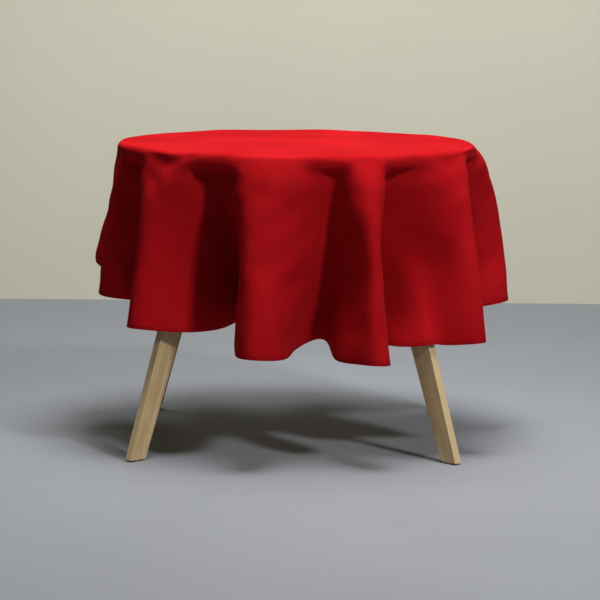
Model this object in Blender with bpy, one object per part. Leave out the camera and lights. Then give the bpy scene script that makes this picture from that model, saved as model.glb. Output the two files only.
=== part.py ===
"""A round four-legged table with a round red tablecloth draped over it.

Metres, +Z up. The origin is on the floor under the middle of the tabletop, and the front faces -Y.
An azimuth is an angle about +Z, from the front (-Y) towards the right-hand side (+X).
Pieces that belong to one leg are modelled in that leg's own frame: +X points away from the table's
axis, +Y runs along the tabletop's edge and +Z points up.
"""
import math

import bmesh
import bpy

GAP = 0.0003                    # clearance between pieces that touch

# Tabletop: a panel with an edge band glued round it
TABLE_HEIGHT = 0.750            # floor to the bare tabletop
TOP_DIAMETER = 0.900
TOP_THICKNESS = 0.022
BAND_THICKNESS = 0.002
BAND_CHAMFER = 0.001
RIM_SIDES = 120                 # flats that stand for a full turn of the tabletop and the cloth

# Two crossed rails under the tabletop, halved into each other and forked at their ends
RAIL_HEIGHT = 0.070
RAIL_WIDTH = 0.046
RAIL_SETBACK = 0.013            # rail end inside the leg's outer edge
RAIL_BEVEL = 0.002

# Legs: tapered planks on the diagonals, held in the rails' forks
LEG_AZIMUTHS = {"front_left": -45, "front_right": 45, "back_right": 135, "back_left": -135}
LEG_THICKNESS = 0.022
LEG_SPLAY = math.radians(20)
LEG_FOOT_RADIUS = 0.547         # table axis to the middle of the foot
LEG_FOOT_WIDTH = 0.049
LEG_TOP_WIDTH = 0.085
LEG_BEVEL = 0.002

# Sleeve connectors: a bolt from one side of the fork and a sleeve nut from the other
CONNECTOR_INSET = 0.0175        # connector axis from the rail's top and bottom edges
CONNECTOR_HEAD_DIAMETER = 0.015
CONNECTOR_HEAD_HEIGHT = 0.0018
CONNECTOR_SOCKET = 0.004        # hexagon socket across its flats
CONNECTOR_SOCKET_DEPTH = 0.0012
BOLT_DIAMETER = 0.006
BOLT_SHORTFALL = 0.008          # bolt shank shorter than the rail is wide
SLEEVE_DIAMETER = 0.0085
SLEEVE_LENGTH = 0.014
SLEEVE_FLOOR = 0.002            # solid end behind the sleeve's bore

# Screws up through the rails into the panel
SCREW_RADII = (-0.20, -0.10, 0.10, 0.20)
SCREW_DIAMETER = 0.004
SCREW_LENGTH = 0.040
SCREW_BITE = 0.015              # length that goes into the panel
SCREW_HEAD_DIAMETER = 0.0085
SCREW_HEAD_HEIGHT = 0.003
SCREW_TIP = 0.005
COUNTERBORE_DIAMETER = 0.011
PILOT_SPARE = 0.001             # blind holes run on past the tip

# Nail-on foot glides
GLIDE_DIAMETER = 0.019
GLIDE_HEIGHT = 0.003
GLIDE_ROUNDING = 0.0012
PIN_DIAMETER = 0.0024
PIN_LENGTH = 0.014

# Tablecloth: cut as a circle and laid off centre, so its skirt is longest at the front right
CLOTH_DIAMETER = 1.750
CLOTH_THICKNESS = 0.001
CLOTH_SHIFT = 0.088
CLOTH_SHIFT_AZIMUTH = math.radians(21)
CLOTH_LEG_CLEARANCE = 0.010
CLOTH_LEG_SPREAD = math.radians(24)
CLOTH_FLAT_INSET = 0.010        # level top of the cloth inside the tabletop's edge
VALLEY_STANDOFF = 0.005         # hem of a valley outside the tabletop's edge
FOLD_POWER = 1.15               # above 1, a fold grows slowly under the rim
FOLDS = (                       # azimuth in degrees, and how far the hem stands out
    (-112, 0.105), (-80, 0.084), (-47, 0.098), (-8, 0.100), (21, 0.100),
    (58, 0.105), (98, 0.090), (137, 0.090), (170, 0.100), (208, 0.095),
)
SKIRT_STEPS = (0.03, 0.12, 0.25, 0.40, 0.55, 0.70, 0.85, 1.0)

FASTENER_SIDES = 12             # a multiple of six, so that a hexagon's corners fall on points

TOP_RADIUS = TOP_DIAMETER / 2
PANEL_RADIUS = TOP_RADIUS - BAND_THICKNESS - GAP
PANEL_BOTTOM = TABLE_HEIGHT - TOP_THICKNESS
RAIL_TOP = PANEL_BOTTOM - GAP
RAIL_BOTTOM = RAIL_TOP - RAIL_HEIGHT
FOOT_BOTTOM = GLIDE_HEIGHT + GAP
SCREW_SEAT = RAIL_TOP - (SCREW_LENGTH - SCREW_BITE)
PAST = 0.01                     # how far cutters run on outside what they cut


# ---- materials ----------------------------------------------------------------------------

def material(name, colour, roughness, metallic=0.0):
    """A Principled material of one colour."""
    made = bpy.data.materials.new(name)
    made.use_nodes = True
    shader = made.node_tree.nodes["Principled BSDF"]
    shader.inputs["Base Color"].default_value = (*colour, 1.0)
    shader.inputs["Roughness"].default_value = roughness
    shader.inputs["Metallic"].default_value = metallic
    made.diffuse_color = (*colour, 1.0)
    return made


# ---- shapes -------------------------------------------------------------------------------

def circle(radius, z, sides=FASTENER_SIDES):
    """Points of a level circle about the local Z axis."""
    turns = [2 * math.pi * i / sides for i in range(sides)]
    return [(radius * math.cos(a), radius * math.sin(a), z) for a in turns]


def hexagon(across_flats, z, sides=FASTENER_SIDES):
    """A hexagon with as many points as a circle, so that the two can be joined by faces."""
    points = []
    for i in range(sides):
        angle = 2 * math.pi * i / sides
        radius = across_flats / 2 / math.cos(angle % (math.pi / 3) - math.pi / 6)
        points.append((radius * math.cos(angle), radius * math.sin(angle), z))
    return points


def plank(outline, thickness):
    """The two side outlines of a board that stands on edge, from (x, z) points."""
    return [[(x, y, z) for x, z in outline] for y in (thickness / 2, -thickness / 2)]


def block(x_low, x_high, z_low, z_high, thickness):
    """A board with square ends."""
    return plank([(x_low, z_low), (x_high, z_low), (x_high, z_high), (x_low, z_high)], thickness)


def mesh_from(name, *lofts):
    """A mesh of closed shapes, each lofted through rings that have the same number of points."""
    shape = bmesh.new()
    for rings in lofts:
        rows = [[shape.verts.new(point) for point in ring] for ring in rings]
        for low, high in zip(rows, rows[1:]):
            for i in range(len(low)):
                shape.faces.new((low[i - 1], low[i], high[i], high[i - 1]))
        shape.faces.new(rows[0])
        shape.faces.new(rows[-1])
    bmesh.ops.recalc_face_normals(shape, faces=shape.faces)
    mesh = bpy.data.meshes.new(name)
    shape.to_mesh(mesh)
    shape.free()
    return mesh


def hoop_mesh(name, outline):
    """A mesh of an outline in (radius, z) turned right round the table's axis."""
    shape = bmesh.new()
    rows = []
    for i in range(RIM_SIDES):
        turn = 2 * math.pi * i / RIM_SIDES
        points = [(r * math.cos(turn), r * math.sin(turn), z) for r, z in outline]
        rows.append([shape.verts.new(point) for point in points])
    for k, row in enumerate(rows):
        for i in range(len(outline)):
            shape.faces.new((rows[k - 1][i - 1], rows[k - 1][i], row[i], row[i - 1]))
    bmesh.ops.recalc_face_normals(shape, faces=shape.faces)
    mesh = bpy.data.meshes.new(name)
    shape.to_mesh(mesh)
    shape.free()
    return mesh


# ---- objects ------------------------------------------------------------------------------

def add(name, mesh, parent, location=(0, 0, 0), rotation=(0, 0, 0)):
    """An object placed in its parent's frame."""
    made = bpy.data.objects.new(name, mesh)
    bpy.context.scene.collection.objects.link(made)
    made.parent = parent
    made.location = location
    made.rotation_euler = rotation
    return made


def add_piece(name, mesh, finish, parent, location=(0, 0, 0), rotation=(0, 0, 0)):
    """A physical piece, with its material and crisp edges between smooth faces."""
    if not mesh.materials:
        mesh.materials.append(finish)
        mesh.shade_smooth()
        mesh.set_sharp_from_angle(angle=math.radians(35))
    return add(name, mesh, parent, location, rotation)


def add_cutter(name, parent, *lofts):
    """A tool that only cuts other pieces."""
    made = add(name, mesh_from(name, *lofts), parent)
    made.hide_render = True
    made.display_type = "WIRE"
    return made


def cut(piece, *cutters):
    """Subtract cutters from a piece."""
    for tool in cutters:
        boolean = piece.modifiers.new(tool.name, "BOOLEAN")
        boolean.object = tool


def bevel(piece, width):
    """Ease the edges of a wooden piece."""
    rounding = piece.modifiers.new("edges", "BEVEL")
    rounding.width = width
    rounding.segments = 2


def add_frame(name, azimuth):
    """An empty on the table's axis whose +X points towards an azimuth given in degrees."""
    frame = add(name, None, None)
    frame.rotation_euler.z = math.radians(azimuth - 90)
    return frame


# ---- legs and their fittings --------------------------------------------------------------

def leg_centre(z):
    """Distance from the table's axis to a leg's centre line."""
    return LEG_FOOT_RADIUS - z * math.tan(LEG_SPLAY)


def leg_edge(z, side):
    """Distance from the table's axis to a leg's inner (side -1) or outer (side 1) edge."""
    width = LEG_FOOT_WIDTH + (LEG_TOP_WIDTH - LEG_FOOT_WIDTH) * z / RAIL_TOP
    return leg_centre(z) + side * width / 2


def leg_mesh():
    corners = [(FOOT_BOTTOM, -1), (FOOT_BOTTOM, 1), (RAIL_TOP, 1), (RAIL_TOP, -1)]
    outline = [(leg_edge(z, side), z) for z, side in corners]
    return mesh_from("leg", plank(outline, LEG_THICKNESS))


def glide_mesh():
    disc = GLIDE_DIAMETER / 2
    pin = PIN_DIAMETER / 2
    pin_end = GLIDE_HEIGHT + PIN_LENGTH
    profile = [
        (disc - GLIDE_ROUNDING, 0), (disc, GLIDE_ROUNDING), (disc, GLIDE_HEIGHT),
        (pin, GLIDE_HEIGHT), (pin, pin_end - PIN_DIAMETER), (pin / 3, pin_end),
    ]
    return mesh_from("glide", [circle(r, z) for r, z in profile])


def connector_head():
    """Rings of a low head from its rim down into its hexagon socket."""
    rim = CONNECTOR_HEAD_DIAMETER / 2
    top = CONNECTOR_HEAD_HEIGHT
    return [
        circle(rim, 0), circle(rim, top / 2), circle(rim - top / 2, top),
        hexagon(CONNECTOR_SOCKET, top), hexagon(CONNECTOR_SOCKET, top - CONNECTOR_SOCKET_DEPTH),
    ]


def bolt_mesh():
    shank = BOLT_DIAMETER / 2
    tip = BOLT_SHORTFALL - RAIL_WIDTH
    rings = [circle(shank * 0.75, tip), circle(shank, tip + shank / 2), circle(shank, 0)]
    return mesh_from("bolt", rings + connector_head())


def sleeve_nut_mesh():
    bore = BOLT_DIAMETER / 2 + GAP
    sleeve = SLEEVE_DIAMETER / 2
    rings = [
        circle(bore, -SLEEVE_FLOOR), circle(bore, -SLEEVE_LENGTH),
        circle(sleeve, -SLEEVE_LENGTH), circle(sleeve, 0),
    ]
    return mesh_from("sleeve_nut", rings + connector_head())


def connector_heights():
    return RAIL_TOP - CONNECTOR_INSET, RAIL_BOTTOM + CONNECTOR_INSET


def connector_bores():
    """Holes across the fork and the leg for the sleeve connectors."""
    radius = (SLEEVE_DIAMETER / 2 + GAP) / math.cos(math.pi / FASTENER_SIDES)
    half = RAIL_WIDTH / 2 + PAST
    bores = []
    for z in connector_heights():
        ends = [circle(radius, y) for y in (-half, half)]
        bores.append([[(leg_centre(z) + a, y, z + b) for a, b, y in ring] for ring in ends])
    return bores


def fork_slot():
    """The slot in a rail's end: it follows the leg's inner edge and is open to the outside."""
    low = RAIL_BOTTOM - PAST
    high = RAIL_TOP + PAST
    outside = leg_edge(low, 1) + PAST
    step_back = GAP / math.cos(LEG_SPLAY)
    outline = [
        (leg_edge(low, -1) - step_back, low), (outside, low),
        (outside, high), (leg_edge(high, -1) - step_back, high),
    ]
    return plank(outline, LEG_THICKNESS + 2 * GAP)


def pin_hole():
    radius = (PIN_DIAMETER / 2 + GAP) / math.cos(math.pi / FASTENER_SIDES)
    ends = [circle(radius, z) for z in (-PAST, GLIDE_HEIGHT + PIN_LENGTH + PILOT_SPARE)]
    return [[(LEG_FOOT_RADIUS + x, y, z) for x, y, z in ring] for ring in ends]


def build_corner(name, number, meshes, finishes):
    """A leg with its glide and connectors. Returns the tools that cut the rail's end."""
    frame = add_frame("corner_" + name, LEG_AZIMUTHS[name])
    bores = add_cutter("bores_" + name, frame, *connector_bores())
    slot = add_cutter("slot_" + name, frame, fork_slot())
    hole = add_cutter("pin_hole_" + name, frame, pin_hole())

    leg = add_piece("leg_" + name, meshes["leg"], finishes["wood"], frame)
    bevel(leg, LEG_BEVEL)
    cut(leg, bores, hole)

    foot = (LEG_FOOT_RADIUS, 0, 0)
    add_piece("foot_glide_" + name, meshes["glide"], finishes["plastic"], frame, foot)

    cheek = RAIL_WIDTH / 2 + GAP
    quarter = math.pi / 2
    for z in connector_heights():
        number += 1
        ends = (("joint_bolt", "bolt", 1), ("sleeve_nut", "sleeve_nut", -1))
        for node, mesh, side in ends:
            place = (leg_centre(z), side * cheek, z)
            turn = (-side * quarter, 0, 0)
            add_piece(f"{node}_{number}", meshes[mesh], finishes["steel"], frame, place, turn)
    return bores, slot


# ---- rails and tabletop -------------------------------------------------------------------

def screw_mesh():
    head = SCREW_HEAD_DIAMETER / 2
    shank = SCREW_DIAMETER / 2
    low = -SCREW_HEAD_HEIGHT
    rings = [
        hexagon(SCREW_DIAMETER, low / 3), hexagon(SCREW_DIAMETER, low),
        circle(head * 0.8, low), circle(head, low / 2), circle(head, 0), circle(shank, 0),
        circle(shank, SCREW_LENGTH - SCREW_TIP), circle(shank / 4, SCREW_LENGTH),
    ]
    return mesh_from("screw", rings)


def screw_holes():
    """Clearance holes with deep counterbores from below, and pilot holes into the panel."""
    roundness = math.cos(math.pi / FASTENER_SIDES)
    hole = (SCREW_DIAMETER / 2 + GAP) / roundness
    pilot_end = PANEL_BOTTOM + SCREW_BITE + PILOT_SPARE
    profile = [
        (COUNTERBORE_DIAMETER / 2, RAIL_BOTTOM - PAST), (COUNTERBORE_DIAMETER / 2, SCREW_SEAT),
        (hole, SCREW_SEAT), (hole, pilot_end),
    ]
    return [
        [[(x + radius, y, z) for x, y, z in circle(r, z)] for r, z in profile]
        for radius in SCREW_RADII
    ]


def build_rail(name, azimuth, notch_side, corner_tools, number, meshes, finishes):
    """A rail on one diagonal. Its halving notch is open upwards (1) or downwards (-1)."""
    frame = add_frame("axis_" + name, azimuth)
    half_length = leg_edge(RAIL_BOTTOM, 1) - RAIL_SETBACK
    shape = block(-half_length, half_length, RAIL_BOTTOM, RAIL_TOP, RAIL_WIDTH)
    rail = add_piece(name, mesh_from(name, shape), finishes["wood"], frame)
    bevel(rail, RAIL_BEVEL)

    middle = (RAIL_TOP + RAIL_BOTTOM) / 2
    floor = middle - notch_side * GAP / 2
    open_end = middle + notch_side * (RAIL_HEIGHT / 2 + PAST)
    notch_half = RAIL_WIDTH / 2 + GAP
    notch_shape = block(-notch_half, notch_half, *sorted((floor, open_end)), RAIL_WIDTH + PAST)
    notch = add_cutter("notch_" + name, frame, notch_shape)
    holes = add_cutter("screw_holes_" + name, frame, *screw_holes())
    cut(rail, notch, holes, *corner_tools)

    for radius in SCREW_RADII:
        number += 1
        place = (radius, 0, SCREW_SEAT - GAP)
        screw_name = f"top_screw_{number}"
        add_piece(screw_name, meshes["screw"], finishes["steel"], frame, place)
    return holes


def build_top(screw_cutters, finishes):
    """The panel, with pilot holes from below, inside its edge band."""
    disc = [circle(PANEL_RADIUS, z, RIM_SIDES) for z in (PANEL_BOTTOM, TABLE_HEIGHT)]
    panel = add_piece("tabletop", mesh_from("tabletop", disc), finishes["panel"], None)
    cut(panel, *screw_cutters)

    inner = PANEL_RADIUS + GAP
    outline = [
        (inner, PANEL_BOTTOM), (TOP_RADIUS - BAND_CHAMFER, PANEL_BOTTOM),
        (TOP_RADIUS, PANEL_BOTTOM + BAND_CHAMFER), (TOP_RADIUS, TABLE_HEIGHT - BAND_CHAMFER),
        (TOP_RADIUS - BAND_CHAMFER, TABLE_HEIGHT), (inner, TABLE_HEIGHT),
    ]
    mesh = hoop_mesh("edge_band", outline)
    add_piece("edge_band", mesh, finishes["wood"], None)


# ---- tablecloth ---------------------------------------------------------------------------

def wrapped(angle):
    """An angle brought to between minus and plus half a turn."""
    return (angle + math.pi) % (2 * math.pi) - math.pi


def skirt_length(azimuth):
    """How much of the round cloth hangs below the tabletop's edge."""
    turn = azimuth - CLOTH_SHIFT_AZIMUTH
    along = CLOTH_SHIFT * math.cos(turn)
    across = CLOTH_SHIFT * math.sin(turn)
    return along + math.sqrt((CLOTH_DIAMETER / 2) ** 2 - across ** 2) - TOP_RADIUS


def fold_flare(azimuth):
    """How far the hem stands out: a wave with a crest at each fold and a valley between them."""
    offsets = [(wrapped(azimuth - math.radians(crest)), flare) for crest, flare in FOLDS]
    before = max((o for o in offsets if o[0] >= 0), key=lambda o: -o[0])
    after = max((o for o in offsets if o[0] < 0), key=lambda o: o[0])
    share = before[0] / (before[0] - after[0])
    flare = before[1] if share < 0.5 else after[1]
    return VALLEY_STANDOFF + flare * (1 + math.cos(2 * math.pi * share)) / 2


def clear_of_legs(azimuth, z, radius):
    """Push the cloth out where a leg stands behind it, easing away to either side."""
    for degrees in LEG_AZIMUTHS.values():
        away = abs(wrapped(azimuth - math.radians(degrees))) / CLOTH_LEG_SPREAD
        least = leg_edge(z, 1) + CLOTH_LEG_CLEARANCE
        radius = max(radius, least * (1 - away ** 2))
    return radius


def skirt_point(azimuth, step):
    """A point of the skirt, a share of the way down from the rim to the hem."""
    length = skirt_length(azimuth)
    flare = fold_flare(azimuth)
    drop = math.sqrt(length ** 2 - flare ** 2)
    rim = TOP_RADIUS + GAP
    z = TABLE_HEIGHT - BAND_CHAMFER + GAP - drop * step
    radius = clear_of_legs(azimuth, z, rim + flare * step ** FOLD_POWER)
    return radius * math.sin(azimuth), -radius * math.cos(azimuth), z


def build_cloth(finishes):
    """One sheet from the middle of the tabletop to the hem, thickened outwards."""
    azimuths = [2 * math.pi * i / RIM_SIDES for i in range(RIM_SIDES)]
    top_radii = (TOP_RADIUS - CLOTH_FLAT_INSET, TOP_RADIUS - BAND_CHAMFER + GAP)
    rows = [
        [(radius * math.sin(a), -radius * math.cos(a), TABLE_HEIGHT + GAP) for a in azimuths]
        for radius in top_radii
    ]
    for step in (0.0, *SKIRT_STEPS):
        rows.append([skirt_point(a, step) for a in azimuths])

    sheet = bmesh.new()
    rings = [[sheet.verts.new(point) for point in row] for row in rows]
    sheet.faces.new(rings[0])
    for upper, lower in zip(rings, rings[1:]):
        for i in range(RIM_SIDES):
            sheet.faces.new((lower[i - 1], lower[i], upper[i], upper[i - 1]))
    mesh = bpy.data.meshes.new("tablecloth")
    sheet.to_mesh(mesh)
    sheet.free()
    cloth = add_piece("tablecloth", mesh, finishes["cloth"], None)
    thickness = cloth.modifiers.new("thickness", "SOLIDIFY")
    thickness.thickness = CLOTH_THICKNESS
    thickness.offset = 1.0


# ---- assembly -----------------------------------------------------------------------------

def build():
    for old in list(bpy.data.objects):
        bpy.data.objects.remove(old, do_unlink=True)

    finishes = {
        "cloth": material("red cotton", (0.53, 0.006, 0.016), 0.85),
        "wood": material("solid ash", (0.62, 0.45, 0.25), 0.55),
        "panel": material("ash veneer", (0.66, 0.50, 0.30), 0.50),
        "steel": material("zinc-plated steel", (0.62, 0.63, 0.65), 0.35, 1.0),
        "plastic": material("grey polyethylene", (0.30, 0.30, 0.30), 0.60),
    }
    meshes = {
        "leg": leg_mesh(),
        "glide": glide_mesh(),
        "bolt": bolt_mesh(),
        "sleeve_nut": sleeve_nut_mesh(),
        "screw": screw_mesh(),
    }

    tools = {}
    for index, name in enumerate(LEG_AZIMUTHS):
        tools[name] = build_corner(name, 2 * index, meshes, finishes)

    lower_tools = tools["front_left"] + tools["back_right"]
    upper_tools = tools["front_right"] + tools["back_left"]
    screw_cutters = [
        build_rail("rail_left_diagonal", -45, 1, lower_tools, 0, meshes, finishes),
        build_rail("rail_right_diagonal", 45, -1, upper_tools, 4, meshes, finishes),
    ]
    build_top(screw_cutters, finishes)
    build_cloth(finishes)


build()
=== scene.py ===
"""The looks of a round four-legged table under a draped red tablecloth.

Metres, +Z up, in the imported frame: the origin is on the floor under the middle of the tabletop.
An azimuth is an angle about +Z, from the front (-Y) towards the right-hand side (+X).
"""
import math

import bmesh
import bpy
import numpy as np
from mathutils import Matrix, Vector


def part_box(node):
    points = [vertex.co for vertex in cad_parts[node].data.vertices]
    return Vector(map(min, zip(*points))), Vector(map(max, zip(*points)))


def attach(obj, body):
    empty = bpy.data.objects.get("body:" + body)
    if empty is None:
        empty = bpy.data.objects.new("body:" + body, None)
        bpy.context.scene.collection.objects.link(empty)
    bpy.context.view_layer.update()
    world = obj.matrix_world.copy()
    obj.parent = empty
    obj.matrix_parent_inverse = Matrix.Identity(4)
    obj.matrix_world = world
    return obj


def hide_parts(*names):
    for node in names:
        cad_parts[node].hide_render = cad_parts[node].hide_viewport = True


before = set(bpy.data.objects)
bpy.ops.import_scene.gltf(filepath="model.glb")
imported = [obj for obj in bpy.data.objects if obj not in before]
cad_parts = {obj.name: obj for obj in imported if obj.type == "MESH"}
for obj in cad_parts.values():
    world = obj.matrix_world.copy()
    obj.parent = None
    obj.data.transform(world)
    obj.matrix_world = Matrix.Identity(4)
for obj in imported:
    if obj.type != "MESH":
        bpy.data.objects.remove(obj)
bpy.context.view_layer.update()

FULL_TURN = 2 * math.pi

# ---- what the frame gives -----------------------------------------------------------------

TOP_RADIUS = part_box("edge_band")[1].x
TOP_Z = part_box("tabletop")[1].z
SLAB_THICKNESS = TOP_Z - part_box("tabletop")[0].z
CLOTH_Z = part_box("tablecloth")[1].z
LEG_NODES = [name for name in sorted(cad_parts) if name.startswith("leg_")]
RAIL_NODES = [name for name in sorted(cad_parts) if name.startswith("rail_")]
STEEL_PREFIXES = ("joint_bolt", "sleeve_nut", "top_screw")

# ---- the tablecloth -----------------------------------------------------------------------

CUT_RADIUS = 0.875              # the round cloth, laid flat
CUT_SHIFT = 0.088               # how far off the table's middle it lies
CUT_SHIFT_AZIMUTH = math.radians(21)
CLOTH_THICKNESS = 0.0008
SHEET_Z = CLOTH_Z - CLOTH_THICKNESS / 2
RIM_RADIUS = TOP_RADIUS + 0.0012    # where the sheet turns down over the edge

# Each fold: its ridge's azimuth in degrees, the radius at which the ridge's hem hangs, how the ridge
# stands out below the rim (1 is straight, less is a fuller shoulder), the azimuth of the valley
# after it, and how steep the flanks before and after that valley are (above 1, they hang over)
FOLDS = (
    (-112, 0.570, 0.90, -97, 0.5, 0.5),
    (-80, 0.515, 0.90, -62, 0.1, 0.4),
    (-47, 0.552, 0.75, -27, 0.2, 0.8),
    (-9, 0.560, 0.75, 12, 0.5, 0.5),
    (22, 0.557, 0.75, 32, 0.5, 0.2),
    (59, 0.560, 0.75, 74, 0.4, 0.4),
    (98, 0.558, 0.60, 119, 0.5, 0.5),
    (137, 0.550, 0.70, 153, 0.5, 0.5),
    (170, 0.560, 0.70, 189, 0.5, 0.5),
    (208, 0.555, 0.70, 228, 0.5, 0.5),
)
COLUMNS = 240                   # of the simulated sheet, all round
TOP_RINGS = (0.25, 0.5, 0.72, 0.86, 0.93, 0.965, 0.985, 1.0)    # as shares of the rim's radius
SKIRT_ROWS = 40
HALF_FOLD_POINTS = 80
GATHER = math.radians(5.5)
GATHER_AZIMUTH = math.radians(8)
HEM_EASE = 0.11                 # how far the bias-cut hem gives as it hangs
ROW_POWER = 1.25                # above 1, the rows of points lie closer together under the rim
CREASE_SHARPNESS = 3.0          # how much narrower than its ridges a valley is where it starts
CREASE_FADE = 0.20              # share of the skirt over which the valley widens
SHALLOW_CREASE = 0.02           # the deepest a valley may be drawn at the rim, before it is clipped
DEEPENING = 2.0                 # how fast that grows down the skirt
LEG_AIR = 0.012                 # the cloth's least distance outside a leg


def azimuth_direction(azimuth):
    """The level unit vector of an azimuth, as x and y."""
    return np.sin(azimuth), -np.cos(azimuth)


def cut_edge(azimuth):
    """Distance from the table's axis to the flat cloth's edge."""
    turn = azimuth - CUT_SHIFT_AZIMUTH
    return CUT_SHIFT * np.cos(turn) + np.sqrt(CUT_RADIUS ** 2 - (CUT_SHIFT * np.sin(turn)) ** 2)


def flat_radius(azimuth, share):
    """Distance from the axis, on the flat cloth, of a point a share of the way down the skirt."""
    return RIM_RADIUS + share * (cut_edge(azimuth) - RIM_RADIUS)


def gathered(azimuth, share):
    """The flat azimuth of what hangs at an azimuth: the cloth is drawn in towards the front."""
    return azimuth + GATHER * share * np.sin(azimuth - GATHER_AZIMUTH)


def leg_line(name):
    """A leg's azimuth, and its outer radius as a straight line over height."""
    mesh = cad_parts[name].data
    points = np.array([v.co[:] for v in mesh.vertices])
    radius = np.hypot(points[:, 0], points[:, 1])
    middle = points.mean(0)
    heights = [points[:, 2].min(), points[:, 2].max()]
    outer = [radius[np.abs(points[:, 2] - z) < 0.01].max() for z in heights]
    return math.atan2(middle[0], -middle[1]), heights, outer


LEGS = [leg_line(name) for name in LEG_NODES]


def wrapped(angle):
    return (angle + math.pi) % FULL_TURN - math.pi


def clear_of_legs(azimuth, z, radius):
    """Pushes the sheet out where a leg stands behind it."""
    half = math.radians(13)
    for leg_azimuth, heights, outer in LEGS:
        away = np.abs(wrapped(azimuth - leg_azimuth)) / half
        least = (np.interp(z, heights, outer) + LEG_AIR) * (1 - 0.8 * away ** 2)
        radius = np.where(away < 1, np.maximum(radius, least), radius)
    return radius


def valley_limit(drop):
    """The least radius of the sheet: outside the slab's edge, then free below it."""
    below = drop - SLAB_THICKNESS - 0.011
    bend = 0.006
    return RIM_RADIUS + 0.001 - 1.2 * bend * np.logaddexp(0, below / bend)


def rounded_ramp(share):
    """From 0 to 1, straighter than half a wave but with rounded ends."""
    wave = (1 - np.cos(math.pi * share)) / 2
    return wave + 0.75 * (share - wave) * np.sin(math.pi * share)


def fold_paths():
    """Each fold from its ridge through its valley to the next ridge: azimuths and depth shares."""
    paths = []
    share = np.linspace(0, 1, HALF_FOLD_POINTS, endpoint=False)
    for k, (ridge, hem, power, valley, steep_in, steep_out) in enumerate(FOLDS):
        following = FOLDS[(k + 1) % len(FOLDS)]
        next_ridge = following[0] + (360 if k == len(FOLDS) - 1 else 0)
        halves = ((ridge, valley, steep_in), (valley, next_ridge, steep_out))
        paths.append({
            "start": np.radians(np.repeat([h[0] for h in halves], HALF_FOLD_POINTS)),
            "span": np.radians(np.repeat([h[1] - h[0] for h in halves], HALF_FOLD_POINTS)),
            "steep": np.repeat([h[2] for h in halves], HALF_FOLD_POINTS),
            "share": np.tile(share, 2),
            "depth": np.concatenate([rounded_ramp(share), rounded_ramp(1 - share)]),
            "blend": (1 - np.cos(math.pi * np.concatenate([share, share + 1]) / 2)) / 2,
            "hems": ((hem, power), (following[1], following[2])),
            "ends": np.radians([ridge, next_ridge]),
        })
    return paths


def fold_outline(path, share, amplitude, lift):
    """Level outline of one fold at a share of the way down: azimuths and radii."""
    steep = path["steep"] * min(1.0, 1.3 * share)
    wave = np.sin(FULL_TURN * path["share"]) / FULL_TURN
    azimuth = path["start"] + path["span"] * (path["share"] + steep * wave)
    ridges = [RIM_RADIUS + (hem - RIM_RADIUS) * share ** power + lift
              for hem, power in path["hems"]]
    ridge = ridges[0] + (ridges[1] - ridges[0]) * path["blend"]
    drop = flat_radius(azimuth, share) - RIM_RADIUS
    least = valley_limit(drop)
    depth = path["depth"] ** (1 + CREASE_SHARPNESS * math.exp(-share / CREASE_FADE))
    softness = 0.003
    radius = least + softness * np.logaddexp(0, (ridge - amplitude * depth - least) / softness)
    return azimuth, clear_of_legs(azimuth, SHEET_Z - drop, radius)


def lengths(azimuth, radius, end_azimuth, end_radius):
    """Length of each step along a level outline that ends at a given point."""
    azimuth = np.append(azimuth, end_azimuth)
    radius = np.append(radius, end_radius)
    x, y = azimuth_direction(azimuth)
    return np.hypot(np.diff(radius * x), np.diff(radius * y))


def fold_length(path, share, amplitude, lift):
    azimuth, radius = fold_outline(path, share, amplitude, lift)
    return lengths(azimuth, radius, path["ends"][1], radius[0]).sum()


def cloth_length(path, share):
    """Length of the flat cloth's ring between two ridges."""
    start, end = gathered(path["ends"], share)
    turns = np.linspace(start, end, 50)
    return flat_radius(turns, share).mean() * (end - start) * (1 + HEM_EASE * share)


def solve(measure, target, low, high):
    """The value between low and high at which a rising measure reaches the target."""
    for _ in range(30):
        middle = (low + high) / 2
        if measure(middle) < target:
            low = middle
        else:
            high = middle
    return (low + high) / 2


def skirt_row(paths, share):
    """Positions, seen from above, of one ring of the sheet's points, by their flat azimuths."""
    deepest = SHALLOW_CREASE + DEEPENING * share ** 1.5
    targets = [cloth_length(path, share) for path in paths]

    def total(lift):
        return sum(fold_length(path, share, deepest, lift) for path in paths)

    short = share > CREASE_FADE and total(0.0) < sum(targets)
    lift = solve(total, sum(targets), 0.0, 0.1) if short else 0.0
    flat, xs, ys = [], [], []
    for path, target in zip(paths, targets):
        amplitude = solve(lambda a: fold_length(path, share, a, lift), target, 0.0, deepest)
        azimuth, radius = fold_outline(path, share, amplitude, lift)
        x, y = azimuth_direction(azimuth)
        steps = lengths(azimuth, radius, path["ends"][1], radius[-1])
        along = np.concatenate([[0], np.cumsum(steps)[:-1]]) / steps.sum()
        start, end = gathered(path["ends"], share)
        flat.append(start + along * (end - start))
        xs.append(radius * x)
        ys.append(radius * y)
    flat, xs, ys = (np.concatenate(part) for part in (flat, xs, ys))
    turns = column_azimuths()
    turns = flat[0] + np.mod(turns - flat[0], FULL_TURN)
    flat = np.append(flat, flat[0] + FULL_TURN)
    return np.stack([np.interp(turns, flat, np.append(xs, xs[0])),
                     np.interp(turns, flat, np.append(ys, ys[0]))], 1)


def column_azimuths():
    return np.linspace(0, FULL_TURN, COLUMNS, endpoint=False)


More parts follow.
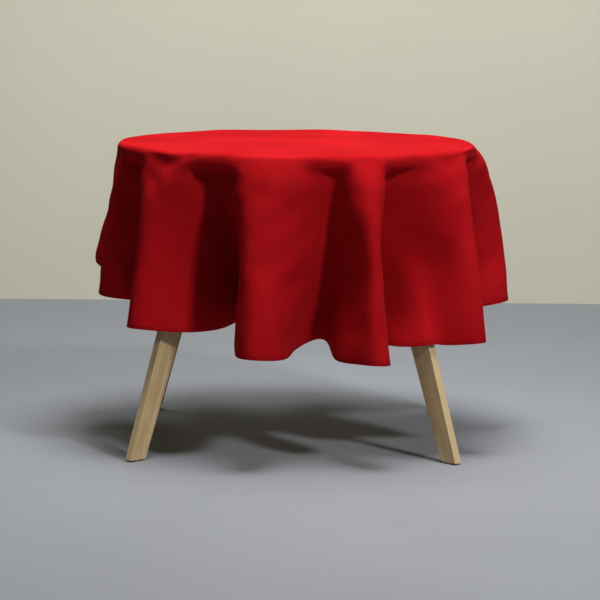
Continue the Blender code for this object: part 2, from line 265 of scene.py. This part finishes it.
def draped_guess():
    """The flat cloth and a first shape of its drape, ring by ring, as (rings, columns, 3) arrays."""
    turns = column_azimuths()
    x, y = azimuth_direction(turns)
    flat = []
    draped = []
    for share in TOP_RINGS:
        radius = RIM_RADIUS * share
        ring = np.stack([radius * x, radius * y, np.full(COLUMNS, SHEET_Z)], 1)
        flat.append(ring)
        draped.append(ring)
    paths = fold_paths()
    for row in range(1, SKIRT_ROWS + 1):
        before = ((row - 1) / SKIRT_ROWS) ** ROW_POWER
        share = (row / SKIRT_ROWS) ** ROW_POWER
        radius = flat_radius(turns, share)
        flat.append(np.stack([radius * x, radius * y, np.full(COLUMNS, SHEET_Z)], 1))
        plan = skirt_row(paths, share)
        above = draped[-1]
        slope = (cut_edge(turns) - RIM_RADIUS) * (share - before)
        level = np.hypot(plan[:, 0] - above[:, 0], plan[:, 1] - above[:, 1])
        fall = np.sqrt(np.clip(slope ** 2 - level ** 2, (0.3 * slope) ** 2, None))
        draped.append(np.column_stack([plan, above[:, 2] - fall]))
    return np.array(flat), np.array(draped)


def ring_faces(rings, columns):
    """Faces of a disc: a fan round its middle point, which is point 0, then rings of quads."""
    faces = [(0, 1 + k, 1 + (k + 1) % columns) for k in range(columns)]
    for ring in range(rings - 1):
        near = 1 + ring * columns
        far = near + columns
        for k in range(columns):
            after = (k + 1) % columns
            faces.append((near + k, far + k, far + after, near + after))
    return faces


def disc_points(rings):
    """All points of a disc, with its middle point first."""
    middle = np.array([[0, 0, rings[0, :, 2].mean()]])
    return np.concatenate([middle, rings.reshape(-1, 3)])


def new_object(name, points, faces):
    mesh = bpy.data.meshes.new(name)
    mesh.from_pydata([tuple(map(float, p)) for p in points], [], faces)
    mesh.update()
    made = bpy.data.objects.new(name, mesh)
    bpy.context.scene.collection.objects.link(made)
    return made


# ---- cloth simulation ---------------------------------------------------------------------

SIM_FRAMES = 45
SLAB_MARGIN = 0.0035            # the solver keeps the sheet this far off what it touches
PINNED_SHARE = 0.98             # of the tabletop's radius: what lies inside it stays put
SKIRT_SHARE = 1.02              # of the same radius: the skirt starts here
SKIRT_HOLD = 0.006              # how weakly the skirt is held to the guess as it settles


def collider(name, mesh, friction, margin):
    made = bpy.data.objects.new(name, mesh)
    bpy.context.scene.collection.objects.link(made)
    made.modifiers.new("Collision", "COLLISION")
    made.collision.thickness_outer = margin
    made.collision.cloth_friction = friction
    return made


def slab_collider():
    """The tabletop, smaller all round by the solver's margin."""
    shape = bmesh.new()
    radius = TOP_RADIUS - SLAB_MARGIN + 0.0005
    height = SLAB_THICKNESS
    bmesh.ops.create_cone(shape, cap_ends=True, segments=128, radius1=radius, radius2=radius,
                          depth=height)
    bmesh.ops.translate(shape, verts=shape.verts,
                        vec=(0, 0, SHEET_Z - SLAB_MARGIN - height / 2))
    rims = [e for e in shape.edges if abs(e.verts[0].co.z - e.verts[1].co.z) < 1e-6]
    bmesh.ops.bevel(shape, geom=rims, offset=0.003, segments=2, affect="EDGES", profile=0.5)
    mesh = bpy.data.meshes.new("slab_collider")
    shape.to_mesh(mesh)
    shape.free()
    return collider("slab_collider", mesh, 30, 0.002)


def leg_collider(name):
    """A copy of a leg, cut across many times so that the solver feels all of it."""
    shape = bmesh.new()
    shape.from_mesh(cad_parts[name].data)
    bmesh.ops.remove_doubles(shape, verts=shape.verts, dist=1e-5)
    shape_hull = bmesh.ops.convex_hull(shape, input=shape.verts)
    inner = [v for v in shape_hull["geom_interior"] if isinstance(v, bmesh.types.BMVert)]
    bmesh.ops.delete(shape, geom=inner, context="VERTS")
    for cut in range(1, 14):
        height = 0.05 * cut
        everything = shape.verts[:] + shape.edges[:] + shape.faces[:]
        bmesh.ops.bisect_plane(shape, geom=everything, plane_co=(0, 0, height),
                               plane_no=(0, 0, 1))
    bmesh.ops.triangulate(shape, faces=shape.faces)
    mesh = bpy.data.meshes.new(name + "_collider")
    shape.to_mesh(mesh)
    shape.free()
    return collider(name + "_collider", mesh, 5, 0.004)


def hold(cloth, flat_radii):
    """The group that pins what lies on the slab and holds the skirt weakly to the guess."""
    held = cloth.vertex_groups.new(name="held")
    for index in np.nonzero(flat_radii < PINNED_SHARE * TOP_RADIUS)[0]:
        held.add([int(index)], 1.0, "REPLACE")
    for index in np.nonzero(flat_radii > SKIRT_SHARE * TOP_RADIUS)[0]:
        held.add([int(index)], SKIRT_HOLD, "REPLACE")
    return held


def add_solver(cloth, held, rest):
    """A Cloth modifier with the stiffness of a light woven sheet."""
    solver = cloth.modifiers.new("Cloth", "CLOTH")
    settings = solver.settings
    settings.quality = 8
    settings.mass = 0.0001
    settings.air_damping = 2
    settings.tension_stiffness = 40
    settings.compression_stiffness = 40
    settings.shear_stiffness = 5
    settings.bending_stiffness = 1.5
    settings.tension_damping = 10
    settings.compression_damping = 10
    settings.shear_damping = 5
    settings.bending_damping = 1
    settings.vertex_group_mass = held.name
    settings.rest_shape_key = rest
    collisions = solver.collision_settings
    collisions.distance_min = 0.003
    collisions.collision_quality = 3
    collisions.use_self_collision = False
    solver.point_cache.frame_start = 1
    solver.point_cache.frame_end = SIM_FRAMES


def simulate(flat, draped):
    """Lets the guessed drape settle over the slab and the legs. Returns the settled rings."""
    scene = bpy.context.scene
    points = disc_points(draped)
    flat_points = disc_points(flat)
    cloth = new_object("cloth_simulation", points, ring_faces(*draped.shape[:2]))
    cloth.shape_key_add(name="Basis")
    rest = cloth.shape_key_add(name="flat")
    rest.data.foreach_set("co", flat_points.astype(np.float32).ravel())
    rest.value = 0
    held = hold(cloth, np.hypot(*flat_points[:, :2].T))
    colliders = [slab_collider()] + [leg_collider(name) for name in LEG_NODES]
    add_solver(cloth, held, rest)
    for number in range(1, SIM_FRAMES + 1):
        scene.frame_set(number)
    settled = cloth.evaluated_get(bpy.context.evaluated_depsgraph_get())
    found = np.zeros(len(points) * 3, np.float32)
    settled.data.vertices.foreach_get("co", found)
    for used in [cloth] + colliders:
        bpy.data.objects.remove(used, do_unlink=True)
    scene.frame_set(1)
    return found.reshape(-1, 3)[1:].reshape(draped.shape).astype(float)


# ---- the finished sheet -------------------------------------------------------------------

COLUMN_SPLITS = 3               # finished columns to each simulated one
HEM_WIDTH = 0.014
HEM_GAP = 0.0011                # between the cloth and its turned-in hem
HEM_RINGS = 6                   # of points, added below the sheet's edge
CUT_MAP_SPAN = 2.0              # metres of flat cloth to one unit of its UV map
SEAM_HEIGHT = 0.0115            # above the hem's edge
STITCH_PITCH = 0.0042
STITCH_LENGTH = 0.0034
STITCH_HALF_WIDTH = 0.0004
STITCH_HEIGHT = 0.0004          # above the cloth's face
STITCH_SUNK = 0.0002            # below it
SMOOTHING_PASSES = 8


def smoothed(rings, passes):
    """Evens out the solver's ripples over the skirt without shrinking the folds."""
    first = len(TOP_RINGS) + 2
    for _ in range(passes):
        for weight in (0.5, -0.52):
            around = (np.roll(rings, 1, 1) + np.roll(rings, -1, 1)) / 2 - rings
            rings = rings + weight * around
            down = np.zeros_like(rings)
            down[first:-1] = (rings[first - 1:-2] + rings[first + 1:]) / 2 - rings[first:-1]
            rings = rings + weight * down
    return rings


def refined(rings):
    """More columns, on a smooth curve through the ones there are."""
    before, here, after, beyond = (np.roll(rings, s, 1) for s in (1, 0, -1, -2))
    columns = []
    for step in range(COLUMN_SPLITS):
        t = step / COLUMN_SPLITS
        columns.append(0.5 * (
            2 * here + (after - before) * t
            + (2 * before - 5 * here + 4 * after - beyond) * t ** 2
            + (3 * here - before - 3 * after + beyond) * t ** 3))
    return np.stack(columns, 2).reshape(rings.shape[0], -1, 3)


def unit(vectors):
    return vectors / np.linalg.norm(vectors, axis=-1, keepdims=True)


def hem_frame(rings):
    """At each point of the hem's edge: the way down along the cloth, and inwards through it."""
    down = unit(rings[-1] - rings[-2])
    along = unit(np.roll(rings[-1], -1, 0) - np.roll(rings[-1], 1, 0))
    return down, unit(np.cross(along, down)), along


def with_hem(rings, flat_rings):
    """Adds the turned-in hem below the last ring. The flat rings run on past the cut's edge."""
    down, inward, _ = hem_frame(rings)
    steps = ((0.0004, 0.25), (0.0004, 0.75), (-0.0003, 1.0), (-0.3 * HEM_WIDTH, 1.0),
             (-0.65 * HEM_WIDTH, 1.0), (-HEM_WIDTH, 0.95))
    edge = rings[-1]
    outwards = unit(flat_rings[-1] * (1, 1, 0))
    folded = [edge + a * down + b * HEM_GAP * inward for a, b in steps]
    paid = [flat_rings[-1] + outwards * (0.001 + abs(a)) for a, b in steps]
    return np.concatenate([rings, folded]), np.concatenate([flat_rings, paid])


BLOCK_FACES = ((0, 1, 2, 3), (7, 6, 5, 4), (0, 4, 5, 1), (1, 5, 6, 2), (2, 6, 7, 3), (3, 7, 4, 0))


def stitch_corners(middle, down, inward, along):
    """The corners of one stitch: a block that is sunk into the cloth and narrower on top."""
    sunk = (-STITCH_SUNK, 0.5, 1.0)
    raised = (STITCH_HEIGHT, 0.42, 0.5)
    return [middle - height * inward + end * length * STITCH_LENGTH * along
            + side * width * STITCH_HALF_WIDTH * down
            for height, length, width in (sunk, raised)
            for side, end in ((-1, -1), (-1, 1), (1, 1), (1, -1))]


def build_stitching(rings, material):
    """The hem's seam: short straight stitches on the cloth's outer face."""
    edge_rings = rings[:-HEM_RINGS]
    down, inward, along = hem_frame(edge_rings)
    seam = edge_rings[-1] - SEAM_HEIGHT * down - 0.5 * CLOTH_THICKNESS * inward
    closed = np.concatenate([seam, seam[:1]])
    walked = np.concatenate([[0], np.cumsum(np.linalg.norm(np.diff(closed, axis=0), axis=1))])
    count = round(walked[-1] / STITCH_PITCH)
    columns = np.interp(np.arange(count) * walked[-1] / count, walked, np.arange(len(walked)))
    points = []
    faces = []
    for column in columns:
        here = int(column) % len(seam)
        middle = closed[here] + (column - int(column)) * (closed[here + 1] - closed[here])
        faces.extend(tuple(len(points) + c for c in face) for face in BLOCK_FACES)
        points.extend(stitch_corners(middle, down[here], inward[here], along[here]))
    stitching = new_object("hem_stitching", points, faces)
    stitching.data.materials.append(material)
    return stitching


def add_cut_map(mesh, flat_points):
    """A UV map that holds each point's place on the flat cloth: 1 is CUT_MAP_SPAN metres."""
    layer = mesh.uv_layers.new(name="cut")
    corner = np.zeros(len(mesh.loops), np.int32)
    mesh.loops.foreach_get("vertex_index", corner)
    places = flat_points[corner, :2] / CUT_MAP_SPAN + 0.5
    layer.data.foreach_set("uv", places.astype(np.float32).ravel())


def build_cloth(material):
    flat, draped = draped_guess()
    rings = simulate(flat, draped)
    rings = refined(smoothed(rings, SMOOTHING_PASSES))
    flat = refined(flat)
    flat[:len(TOP_RINGS), :, 2] = SHEET_Z
    rings, flat = with_hem(rings, flat)
    cloth = new_object("tablecloth_draped", disc_points(rings), ring_faces(*rings.shape[:2]))
    add_cut_map(cloth.data, disc_points(flat))
    thickness = cloth.modifiers.new("thickness", "SOLIDIFY")
    thickness.thickness = CLOTH_THICKNESS
    thickness.offset = 0
    apply_modifiers(cloth)
    cloth.data.shade_smooth()
    cloth.data.materials.append(material)
    return cloth, rings


def apply_modifiers(made):
    """Puts what the modifiers make into the object's own mesh."""
    shown = made.evaluated_get(bpy.context.evaluated_depsgraph_get())
    mesh = bpy.data.meshes.new_from_object(shown)
    made.modifiers.clear()
    made.data = mesh


# ---- materials ----------------------------------------------------------------------------

THREAD_PITCH = 0.0009
CLOTH_RED = ((0.55, (0.38, 0.0045, 0.0075)),    # linear colours along the ramp, by tone
             (0.85, (0.44, 0.0060, 0.0095)),
             (1.10, (0.50, 0.0080, 0.0120)))
ASH_PALE = (0.66, 0.51, 0.285)
ASH_DARK = (0.50, 0.35, 0.155)
VENEER_PALE = (0.66, 0.53, 0.34)
VENEER_DARK = (0.54, 0.40, 0.23)


def node_material(name):
    """An empty node material and a function that adds a node with its settings and links."""
    made = bpy.data.materials.new(name)
    made.use_nodes = True
    tree = made.node_tree
    shader = tree.nodes["Principled BSDF"]

    def node(kind, settings=None, **inputs):
        added = tree.nodes.new(kind)
        for key, value in (settings or {}).items():
            setattr(added, key, value)
        for key, value in inputs.items():
            socket = added.inputs[int(key[1:])] if key[1:].isdigit() else added.inputs[key]
            if isinstance(value, bpy.types.NodeSocket):
                tree.links.new(value, socket)
            else:
                socket.default_value = value
        return added

    return made, tree, shader, node


def ramp(node, factor, stops):
    """A colour ramp from (position, linear colour) stops."""
    made = node("ShaderNodeValToRGB", Fac=factor)
    elements = made.color_ramp.elements
    while len(elements) < len(stops):
        elements.new(0.5)
    for element, (position, colour) in zip(elements, stops):
        element.position = position
        element.color = (*colour, 1)
    return made.outputs["Color"]


def cotton():
    """Red plain-woven cotton: threads both ways, thicker slubs, a faint sheen."""
    made, tree, shader, node = node_material("red_cotton")
    place = node("ShaderNodeUVMap", {"uv_map": "cut"}).outputs["UV"]
    metres = node("ShaderNodeVectorMath", {"operation": "SCALE"}, _0=place, Scale=CUT_MAP_SPAN)
    metres = metres.outputs["Vector"]
    threads = []
    for axis in ("X", "Y"):
        wave = node("ShaderNodeTexWave", {"bands_direction": axis, "wave_profile": "SIN"},
                    Vector=metres, Scale=FULL_TURN / 20 / THREAD_PITCH, Distortion=0.0)
        threads.append(wave.outputs["Fac"])
    weave = node("ShaderNodeMath", {"operation": "MULTIPLY"}, _0=threads[0], _1=threads[1])
    slubs = []
    for stretch in ((900.0, 18.0, 1.0), (18.0, 900.0, 1.0)):
        long = node("ShaderNodeVectorMath", {"operation": "MULTIPLY"}, _0=metres, _1=stretch)
        noise = node("ShaderNodeTexNoise", Vector=long.outputs["Vector"], Scale=1.0, Detail=3.0)
        slubs.append(noise.outputs["Fac"])
    slub = node("ShaderNodeMath", {"operation": "ADD"}, _0=slubs[0], _1=slubs[1])
    broad = node("ShaderNodeTexNoise", Vector=metres, Scale=5.0, Detail=4.0)
    tone = node("ShaderNodeMath", {"operation": "MULTIPLY_ADD"},
                _0=slub.outputs["Value"], _1=0.35, _2=broad.outputs["Fac"])
    colour = ramp(node, tone.outputs["Value"], CLOTH_RED)
    shade = node("ShaderNodeMapRange", Value=weave.outputs["Value"])
    shade.inputs["To Min"].default_value = 0.86
    shade.inputs["To Max"].default_value = 1.06
    mixed = node("ShaderNodeVectorMath", {"operation": "SCALE"}, _0=colour,
                 Scale=shade.outputs["Result"])
    tree.links.new(mixed.outputs["Vector"], shader.inputs["Base Color"])
    height = node("ShaderNodeMath", {"operation": "MULTIPLY_ADD"},
                  _0=slub.outputs["Value"], _1=0.6, _2=weave.outputs["Value"])
    bump = node("ShaderNodeBump", Height=height.outputs["Value"], Strength=0.35, Distance=0.0002)
    tree.links.new(bump.outputs["Normal"], shader.inputs["Normal"])
    shader.inputs["Roughness"].default_value = 0.9
    shader.inputs["Specular IOR Level"].default_value = 0.03
    shader.inputs["Sheen Weight"].default_value = 0.03
    shader.inputs["Sheen Roughness"].default_value = 0.5
    shader.inputs["Sheen Tint"].default_value = (0.9, 0.08, 0.10, 1)
    made.diffuse_color = (0.55, 0.01, 0.02, 1)
    return made


def thread():
    """Twisted polyester sewing thread, a shade deeper than the cloth."""
    made, tree, shader, node = node_material("red_thread")
    place = node("ShaderNodeTexCoord").outputs["Object"]
    twist = node("ShaderNodeTexNoise", Vector=place, Scale=2500.0, Detail=2.0)
    colour = ramp(node, twist.outputs["Fac"], (
        (0.35, (0.30, 0.004, 0.007)), (0.65, (0.46, 0.012, 0.016))))
    tree.links.new(colour, shader.inputs["Base Color"])
    shader.inputs["Roughness"].default_value = 0.55
    shader.inputs["Specular IOR Level"].default_value = 0.15
    return made


def wood(name, origin, along, pale, dark):
    """Straight-grained ash whose grain runs along a direction from an origin."""
    made, tree, shader, node = node_material(name)
    turn = Vector(along).to_track_quat("Z", "Y").to_euler()
    place = node("ShaderNodeTexCoord").outputs["Object"]
    mapping = node("ShaderNodeMapping", {"vector_type": "TEXTURE"}, Vector=place)
    mapping.inputs["Location"].default_value = origin
    mapping.inputs["Rotation"].default_value = turn
    grain = mapping.outputs["Vector"]
    drift = node("ShaderNodeTexNoise", Vector=grain, Scale=4.0, Detail=2.0)
    long = node("ShaderNodeVectorMath", {"operation": "MULTIPLY"}, _0=grain, _1=(1.0, 1.0, 0.06))
    rings = node("ShaderNodeTexWave", {"bands_direction": "X"}, Vector=long.outputs["Vector"],
                 Scale=55.0, Distortion=6.0, Detail=2.0)
    rings.inputs["Detail Scale"].default_value = 0.8
    fine = node("ShaderNodeVectorMath", {"operation": "MULTIPLY"}, _0=grain,
                _1=(900.0, 900.0, 22.0))
    pores = node("ShaderNodeTexNoise", Vector=fine.outputs["Vector"], Scale=1.0, Detail=3.0)
    tone = node("ShaderNodeMath", {"operation": "MULTIPLY_ADD"},
                _0=rings.outputs["Fac"], _1=0.55, _2=drift.outputs["Fac"])
    tone = node("ShaderNodeMath", {"operation": "MULTIPLY_ADD"},
                _0=pores.outputs["Fac"], _1=0.5, _2=tone.outputs["Value"])
    colour = ramp(node, tone.outputs["Value"], ((0.62, dark), (1.05, pale)))
    tree.links.new(colour, shader.inputs["Base Color"])
    rough = node("ShaderNodeMapRange", Value=pores.outputs["Fac"])
    rough.inputs["To Min"].default_value = 0.62
    rough.inputs["To Max"].default_value = 0.45
    tree.links.new(rough.outputs["Result"], shader.inputs["Roughness"])
    bump = node("ShaderNodeBump", Height=tone.outputs["Value"], Strength=0.3, Distance=0.0003)
    tree.links.new(bump.outputs["Normal"], shader.inputs["Normal"])
    return made


def zinc():
    """Zinc-plated steel with a brushed, slightly spotted finish."""
    made, tree, shader, node = node_material("zinc_steel")
    place = node("ShaderNodeTexCoord").outputs["Object"]
    spots = node("ShaderNodeTexNoise", Vector=place, Scale=600.0, Detail=4.0)
    colour = ramp(node, spots.outputs["Fac"], (
        (0.35, (0.42, 0.43, 0.46)), (0.65, (0.66, 0.67, 0.70))))
    tree.links.new(colour, shader.inputs["Base Color"])
    rough = node("ShaderNodeMapRange", Value=spots.outputs["Fac"])
    rough.inputs["To Min"].default_value = 0.42
    rough.inputs["To Max"].default_value = 0.26
    tree.links.new(rough.outputs["Result"], shader.inputs["Roughness"])
    shader.inputs["Metallic"].default_value = 1.0
    return made


def glide_plastic():
    """Grey moulded polyethylene, dusty underneath."""
    made, tree, shader, node = node_material("glide_plastic")
    place = node("ShaderNodeTexCoord").outputs["Object"]
    grit = node("ShaderNodeTexNoise", Vector=place, Scale=900.0, Detail=5.0)
    colour = ramp(node, grit.outputs["Fac"], (
        (0.35, (0.20, 0.20, 0.20)), (0.65, (0.34, 0.34, 0.335))))
    tree.links.new(colour, shader.inputs["Base Color"])
    bump = node("ShaderNodeBump", Height=grit.outputs["Fac"], Strength=0.3, Distance=0.0002)
    tree.links.new(bump.outputs["Normal"], shader.inputs["Normal"])
    shader.inputs["Roughness"].default_value = 0.6
    return made


def assign(name, material):
    """Gives a carried-over node its finished material."""
    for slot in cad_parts[name].material_slots:
        slot.material = material


def dress_frame():
    steel = zinc()
    plastic = glide_plastic()
    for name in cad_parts:
        if name.startswith(STEEL_PREFIXES):
            assign(name, steel)
        elif name.startswith("foot_glide"):
            assign(name, plastic)
    for name, (azimuth, heights, outer) in zip(LEG_NODES, LEGS):
        foot = Vector((*[outer[0] * d for d in azimuth_direction(azimuth)], heights[0]))
        head = Vector((*[outer[1] * d for d in azimuth_direction(azimuth)], heights[1]))
        assign(name, wood(name + "_ash", foot, head - foot, ASH_PALE, ASH_DARK))
    for name, azimuth in zip(RAIL_NODES, (-45, 45)):
        x, y = azimuth_direction(math.radians(azimuth))
        assign(name, wood(name + "_ash", (0, 0, TOP_Z), (x, y, 0), ASH_PALE, ASH_DARK))
    veneer = wood("veneer_ash", (0, 0, TOP_Z), (1, 0, 0), VENEER_PALE, VENEER_DARK)
    assign("tabletop", veneer)
    assign("edge_band", veneer)


# ---- stage, lights and camera -------------------------------------------------------------

WALL_Y = 2.6
WALL_HALF_WIDTH = 1.3
WALL_HEIGHT = 1.2
WALL_COLOUR = (0.64, 0.635, 0.52)
FLOOR_COLOUR = (0.275, 0.298, 0.335)
ROOM_RADIUS = 11.0
ROOM_HEIGHT = 6.0
ROOM_SIDES = 64
ROOM_COLOUR = (0.60, 0.60, 0.55)
STAGE_UNEVENNESS = 0.03         # of the colour, either way


def stage_surface(name, corners, faces, colour, roughness, scale):
    """A stage surface with a faint unevenness."""
    made = new_object(name, corners, faces)
    surface, tree, shader, node = node_material(name + "_finish")
    place = node("ShaderNodeTexCoord").outputs["Object"]
    noise = node("ShaderNodeTexNoise", Vector=place, Scale=scale, Detail=3.0)
    factors = (1 - STAGE_UNEVENNESS, 1 + STAGE_UNEVENNESS)
    tones = [tuple(c * f for c in colour) for f in factors]
    tree.links.new(ramp(node, noise.outputs["Fac"], ((0.3, tones[0]), (0.7, tones[1]))),
                   shader.inputs["Base Color"])
    shader.inputs["Roughness"].default_value = roughness
    shader.inputs["Specular IOR Level"].default_value = 0.2
    made.data.materials.append(surface)
    return made


def build_stage():
    """A floor, a round room, and a backdrop just large enough for the camera, so that other views
    pass it by."""
    reach, half, sides = ROOM_RADIUS, WALL_HALF_WIDTH, ROOM_SIDES
    quad = [(0, 1, 2, 3)]
    floor = [(-reach, -reach, 0), (reach, -reach, 0), (reach, reach, 0), (-reach, reach, 0)]
    stage_surface("floor", floor, quad, FLOOR_COLOUR, 0.6, 1.5)
    wall = [(-half, WALL_Y, 0), (half, WALL_Y, 0), (half, WALL_Y, WALL_HEIGHT),
            (-half, WALL_Y, WALL_HEIGHT)]
    stage_surface("wall", wall, quad, WALL_COLOUR, 0.8, 1.0)
    turns = [FULL_TURN * k / sides for k in range(sides)]
    ring = [(reach * math.sin(turn), -reach * math.cos(turn)) for turn in turns]
    room = [(x, y, z) for z in (0.0, ROOM_HEIGHT) for x, y in ring]
    faces = [(k, (k + 1) % sides, sides + (k + 1) % sides, sides + k) for k in range(sides)]
    stage_surface("room", room, faces, ROOM_COLOUR, 0.8, 1.0)


def area_light(name, place, target, size, watts, colour):
    light = bpy.data.lights.new(name, "AREA")
    light.shape = "DISK"
    light.size = size
    light.energy = watts
    light.color = colour
    made = bpy.data.objects.new(name, light)
    bpy.context.scene.collection.objects.link(made)
    made.location = place
    made.rotation_euler = (Vector(target) - Vector(place)).to_track_quat("-Z", "Y").to_euler()
    return made


def build_lights():
    area_light("overhead", (0.2, -0.5, 3.3), (0.0, 0.0, 0.5), 1.2, 94, (1.0, 0.96, 0.92))
    area_light("key", (2.3, -3.2, 3.3), (0.0, 0.0, 0.5), 0.6, 105, (1.0, 0.98, 0.99))
    area_light("wall_wash", (0.0, 1.0, 4.2), (0.0, WALL_Y, 0.4), 2.0, 72, (1.0, 1.0, 1.0))
    world = bpy.data.worlds.new("studio")
    world.use_nodes = True
    background = world.node_tree.nodes["Background"]
    background.inputs["Color"].default_value = (1.0, 0.80, 0.50, 1)
    background.inputs["Strength"].default_value = 0.05
    bpy.context.scene.world = world


def build_camera():
    """The photograph's view: seven metres off, a little above the table, and slightly tilted."""
    lens = bpy.data.cameras.new("camera")
    lens.lens = 162.2
    lens.sensor_width = 36.0
    made = bpy.data.objects.new("camera", lens)
    bpy.context.scene.collection.objects.link(made)
    pitch = Matrix.Rotation(math.radians(90 - 7.54), 4, "X")
    roll = Matrix.Rotation(math.radians(0.52), 4, "Z")
    made.matrix_world = Matrix.Translation((0.013, -6.882, 1.260)) @ pitch @ roll
    bpy.context.scene.camera = made
    bpy.context.scene.view_settings.view_transform = "Standard"


# ---- all of it ----------------------------------------------------------------------------

def build():
    build_camera()
    build_stage()
    build_lights()
    dress_frame()
    cloth, rings = build_cloth(cotton())
    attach(cloth, "tablecloth")
    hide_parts("tablecloth")
    stitching = build_stitching(rings, thread())
    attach(stitching, "tablecloth")


build()
